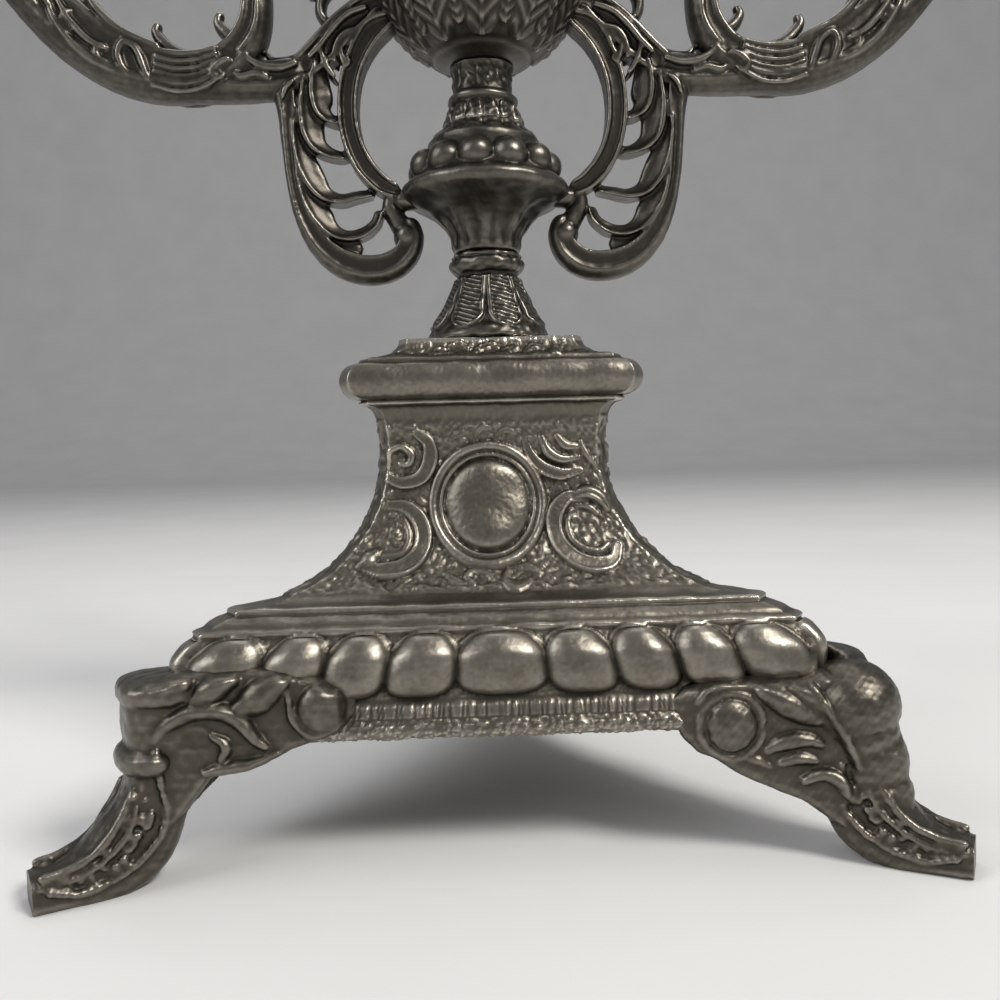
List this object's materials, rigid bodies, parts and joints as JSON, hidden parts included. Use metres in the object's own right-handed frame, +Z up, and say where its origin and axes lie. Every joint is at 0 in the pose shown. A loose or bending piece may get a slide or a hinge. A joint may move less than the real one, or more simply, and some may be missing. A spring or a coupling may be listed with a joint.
{
  "type": "candelabra",
  "caption": "Dark cast-metal table candelabra with a waisted ornamental plinth on scroll feet, a stacked column, pierced scroll arms and loose candle nozzles.",
  "frame": {"origin": "middle of the area that the whole object covers, on the surface it stands on", "axes": "+Z up, +X towards the right arm as seen from the front, the plinth's front face towards -Y"},
  "size_m": [0.2612, 0.1436, 0.2853],
  "materials": {
    "dark_casting": "blackened casting, semi-gloss, worn to warm grey on the ridges",
    "browned_casting": "browned black casting, semi-gloss, polished by handling on the high spots",
    "steel": "plain turned steel, dull"
  },
  "bodies": {
    "candelabra": {"base_shell": "browned_casting", "foot_front_left": "browned_casting", "foot_front_right": "browned_casting", "foot_rear": "browned_casting", "stem_foot": "dark_casting", "bead_knop": "dark_casting", "stem_neck": "dark_casting", "urn_bowl": "dark_casting", "urn_cover": "dark_casting", "centre_spindle": "dark_casting", "left_arm": "dark_casting", "right_arm": "dark_casting", "left_drip_pan": "dark_casting", "left_candle_cup": "dark_casting", "centre_drip_pan": "dark_casting", "centre_candle_cup": "dark_casting", "right_drip_pan": "dark_casting", "right_candle_cup": "dark_casting", "foot_screw_front_left": "steel", "foot_screw_front_right": "steel", "foot_screw_rear": "steel", "tie_rod": "steel", "base_washer": "steel", "base_nut": "steel", "left_arm_pin": "steel", "right_arm_pin": "steel", "left_arm_screw": "steel", "right_arm_screw": "steel", "left_cup_screw": "steel", "centre_cup_screw": "steel", "right_cup_screw": "steel"},
    "left_loose_nozzle": {"left_nozzle": "dark_casting"},
    "centre_loose_nozzle": {"centre_nozzle": "dark_casting"},
    "right_loose_nozzle": {"right_nozzle": "dark_casting"}
  },
  "joints": [
    {"name": "left_nozzle_lift", "type": "slide", "parent": "candelabra", "child": "left_loose_nozzle", "axis": [0, 0, 1], "range_m": [0, 0.02]},
    {"name": "centre_nozzle_lift", "type": "slide", "parent": "candelabra", "child": "centre_loose_nozzle", "axis": [0, 0, 1], "range_m": [0, 0.02]},
    {"name": "right_nozzle_lift", "type": "slide", "parent": "candelabra", "child": "right_loose_nozzle", "axis": [0, 0, 1], "range_m": [0, 0.02]}
  ]
}
